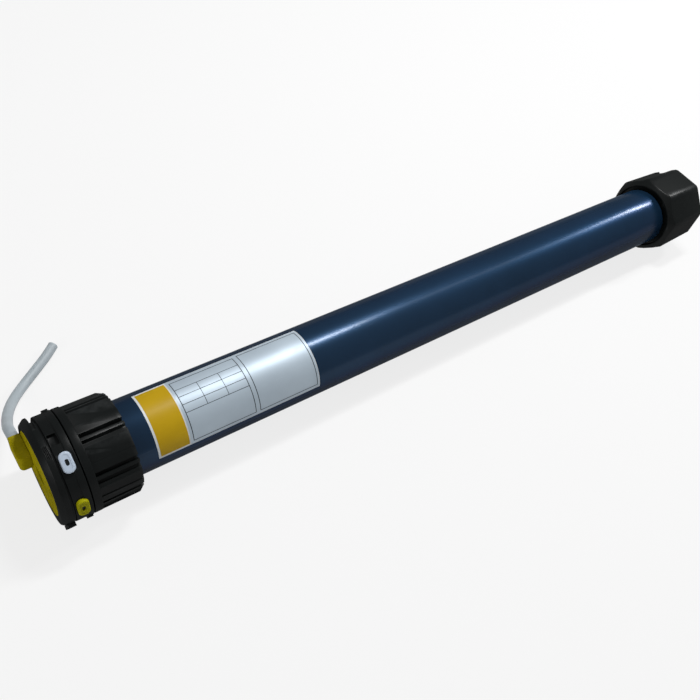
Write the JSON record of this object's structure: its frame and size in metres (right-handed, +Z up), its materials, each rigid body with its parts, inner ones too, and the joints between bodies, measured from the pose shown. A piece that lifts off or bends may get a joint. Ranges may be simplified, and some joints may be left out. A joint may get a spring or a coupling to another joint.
{
  "type": "tubular roller blind motor",
  "caption": "Tubular motor for a roller blind: painted tube with a stepped head, cable, setting buttons, free-turning limit crown and an octagonal drive wheel on the output shaft.",
  "frame": {"origin": "mouth of the bracket socket: the centre of the head's outer face, on the motor axis", "axes": "+X along the motor axis from the head to the drive wheel, +Z up as it lies, -Y towards the side that carries the setting buttons"},
  "size_m": [0.583, 0.1394, 0.0648],
  "materials": {
    "black_plastic": "moulded, satin",
    "dull_yellow_plastic": "moulded, matte",
    "bright_yellow_plastic": "moulded, satin",
    "white_plastic": "moulded, satin",
    "navy_paint": "gloss coated steel tube",
    "label_film": "printed silver film",
    "cable_sheath": "flexible PVC",
    "spring_steel": "bright",
    "steel": "turned or cut",
    "zinc_plated_steel": "zinc plated",
    "sheet_steel_laminations": "stacked sheets",
    "copper_winding": "enamelled wire",
    "diecast": "die cast",
    "bronze": "sintered",
    "gear_plastic": "natural acetal",
    "gear_steel": "sintered steel",
    "grey_plastic": "moulded",
    "circuit_board": "laminate",
    "capacitor_case": "moulded case",
    "foam": "foam strip",
    "lead_insulation": "insulated wire",
    "friction_lining": "brake lining",
    "seal_rubber": "moulded"
  },
  "bodies": {
    "motor_body": {"head_housing": "black_plastic", "face_cover": "dull_yellow_plastic", "cable_block": "dull_yellow_plastic", "supply_cable": "cable_sheath", "white_button_spring": "spring_steel", "yellow_button_spring": "spring_steel", "crown_clip": "spring_steel", "motor_tube": "navy_paint", "head_screws": "zinc_plated_steel", "rating_label": "label_film", "terminal_board": "circuit_board", "terminal_block": "grey_plastic", "limit_frame": "grey_plastic", "cam_axle": "steel", "limit_switches": "grey_plastic", "switch_levers": "spring_steel", "capacitor": "capacitor_case", "capacitor_cradles": "foam", "motor_leads": "lead_insulation", "brake_cup": "diecast", "brake_lining": "friction_lining", "rear_bell": "diecast", "front_bell": "diecast", "motor_bushes": "bronze", "stator_core": "sheet_steel_laminations", "stator_winding": "copper_winding", "ring_gear": "gear_steel", "output_housing": "diecast", "output_bushes": "bronze", "shaft_seal": "seal_rubber", "tube_circlip": "spring_steel"},
    "white_button_body": {"white_button": "white_plastic"},
    "yellow_button_body": {"yellow_button": "bright_yellow_plastic"},
    "crown_body": {"crown": "black_plastic"},
    "counter_body": {"counter_gear": "gear_plastic", "counter_shaft": "gear_plastic"},
    "limit_cam_up_body": {"limit_cam_up": "gear_plastic"},
    "limit_cam_down_body": {"limit_cam_down": "gear_plastic"},
    "output_body": {"output_shaft": "gear_steel", "output_pins": "steel", "drive_wheel": "black_plastic", "wheel_circlip": "spring_steel"},
    "middle_body": {"middle_carrier": "gear_steel", "middle_pins": "steel"},
    "first_body": {"first_carrier": "gear_steel", "first_pins": "steel"},
    "rotor_body": {"rotor_core": "sheet_steel_laminations", "rotor_shaft": "steel", "motor_pinion": "gear_steel", "brake_washers": "spring_steel"},
    "brake_disc_body": {"brake_disc": "steel"},
    "first_planet_1_body": {"first_planet_1": "gear_plastic"},
    "first_planet_2_body": {"first_planet_2": "gear_plastic"},
    "first_planet_3_body": {"first_planet_3": "gear_plastic"},
    "middle_planet_1_body": {"middle_planet_1": "gear_steel"},
    "middle_planet_2_body": {"middle_planet_2": "gear_steel"},
    "middle_planet_3_body": {"middle_planet_3": "gear_steel"},
    "output_planet_1_body": {"output_planet_1": "gear_steel"},
    "output_planet_2_body": {"output_planet_2": "gear_steel"},
    "output_planet_3_body": {"output_planet_3": "gear_steel"}
  },
  "joints": [
    {"name": "white_button_press", "type": "slide", "parent": "motor_body", "child": "white_button_body", "axis": [0, 0.4772, -0.8788], "range_m": [0, 0.002], "stiffness_N_per_m": 1500, "springref_m": -0.001, "deforming": ["white_button_spring"]},
    {"name": "yellow_button_press", "type": "slide", "parent": "motor_body", "child": "yellow_button_body", "axis": [0, 0.9903, -0.1392], "range_m": [0, 0.002], "stiffness_N_per_m": 1500, "springref_m": -0.001, "deforming": ["yellow_button_spring"]},
    {"name": "crown_turn", "type": "hinge", "parent": "motor_body", "child": "crown_body", "pos_m": [0.033, 0, 0], "axis": [1, 0, 0], "continuous": true},
    {"name": "counter_turn", "type": "hinge", "parent": "motor_body", "child": "counter_body", "pos_m": [0.035, 0, -0.016], "axis": [1, 0, 0], "continuous": true},
    {"name": "limit_cam_up_turn", "type": "hinge", "parent": "motor_body", "child": "limit_cam_up_body", "pos_m": [0.032, 0, 0], "axis": [1, 0, 0], "continuous": true},
    {"name": "limit_cam_down_turn", "type": "hinge", "parent": "motor_body", "child": "limit_cam_down_body", "pos_m": [0.042, 0, 0], "axis": [1, 0, 0], "continuous": true},
    {"name": "wheel_turn", "type": "hinge", "parent": "motor_body", "child": "output_body", "pos_m": [0.55, 0, 0], "axis": [1, 0, 0], "continuous": true},
    {"name": "middle_turn", "type": "hinge", "parent": "motor_body", "child": "middle_body", "pos_m": [0.377, 0, 0], "axis": [1, 0, 0], "continuous": true},
    {"name": "first_turn", "type": "hinge", "parent": "motor_body", "child": "first_body", "pos_m": [0.357, 0, 0], "axis": [1, 0, 0], "continuous": true},
    {"name": "rotor_turn", "type": "hinge", "parent": "motor_body", "child": "rotor_body", "pos_m": [0.27, 0, 0], "axis": [1, 0, 0], "continuous": true},
    {"name": "output_planet_1_turn", "type": "hinge", "parent": "output_body", "child": "output_planet_1_body", "pos_m": [0.3903, 0, 0.0108], "axis": [1, 0, 0], "continuous": true},
    {"name": "output_planet_2_turn", "type": "hinge", "parent": "output_body", "child": "output_planet_2_body", "pos_m": [0.3903, -0.00935, -0.0054], "axis": [1, 0, 0], "continuous": true},
    {"name": "output_planet_3_turn", "type": "hinge", "parent": "output_body", "child": "output_planet_3_body", "pos_m": [0.3903, 0.00935, -0.0054], "axis": [1, 0, 0], "continuous": true},
    {"name": "middle_planet_1_turn", "type": "hinge", "parent": "middle_body", "child": "middle_planet_1_body", "pos_m": [0.3666, 0, 0.0108], "axis": [1, 0, 0], "continuous": true},
    {"name": "middle_planet_2_turn", "type": "hinge", "parent": "middle_body", "child": "middle_planet_2_body", "pos_m": [0.3666, -0.00935, -0.0054], "axis": [1, 0, 0], "continuous": true},
    {"name": "middle_planet_3_turn", "type": "hinge", "parent": "middle_body", "child": "middle_planet_3_body", "pos_m": [0.3666, 0.00935, -0.0054], "axis": [1, 0, 0], "continuous": true},
    {"name": "first_planet_1_turn", "type": "hinge", "parent": "first_body", "child": "first_planet_1_body", "pos_m": [0.3494, 0, 0.0108], "axis": [1, 0, 0], "continuous": true},
    {"name": "first_planet_2_turn", "type": "hinge", "parent": "first_body", "child": "first_planet_2_body", "pos_m": [0.3494, -0.00935, -0.0054], "axis": [1, 0, 0], "continuous": true},
    {"name": "first_planet_3_turn", "type": "hinge", "parent": "first_body", "child": "first_planet_3_body", "pos_m": [0.3494, 0.00935, -0.0054], "axis": [1, 0, 0], "continuous": true},
    {"name": "brake_release", "type": "slide", "parent": "rotor_body", "child": "brake_disc_body", "axis": [1, 0, 0], "range_m": [0, 0.0008], "stiffness_N_per_m": 5000, "springref_m": -0.002, "deforming": ["brake_washers"]}
  ],
  "couplings": [
    {"joint": "counter_turn", "follows": "crown_turn", "ratio": 3},
    {"joint": "limit_cam_up_turn", "follows": "crown_turn", "ratio": -0.87097},
    {"joint": "limit_cam_down_turn", "follows": "crown_turn", "ratio": -0.87097},
    {"joint": "middle_turn", "follows": "wheel_turn", "ratio": 5.3333},
    {"joint": "first_turn", "follows": "wheel_turn", "ratio": 28.444},
    {"joint": "rotor_turn", "follows": "wheel_turn", "ratio": 151.7},
    {"joint": "output_planet_1_turn", "follows": "wheel_turn", "ratio": -2.6},
    {"joint": "output_planet_2_turn", "follows": "wheel_turn", "ratio": -2.6},
    {"joint": "output_planet_3_turn", "follows": "wheel_turn", "ratio": -2.6},
    {"joint": "middle_planet_1_turn", "follows": "wheel_turn", "ratio": -13.867},
    {"joint": "middle_planet_2_turn", "follows": "wheel_turn", "ratio": -13.867},
    {"joint": "middle_planet_3_turn", "follows": "wheel_turn", "ratio": -13.867},
    {"joint": "first_planet_1_turn", "follows": "wheel_turn", "ratio": -73.956},
    {"joint": "first_planet_2_turn", "follows": "wheel_turn", "ratio": -73.956},
    {"joint": "first_planet_3_turn", "follows": "wheel_turn", "ratio": -73.956}
  ]
}
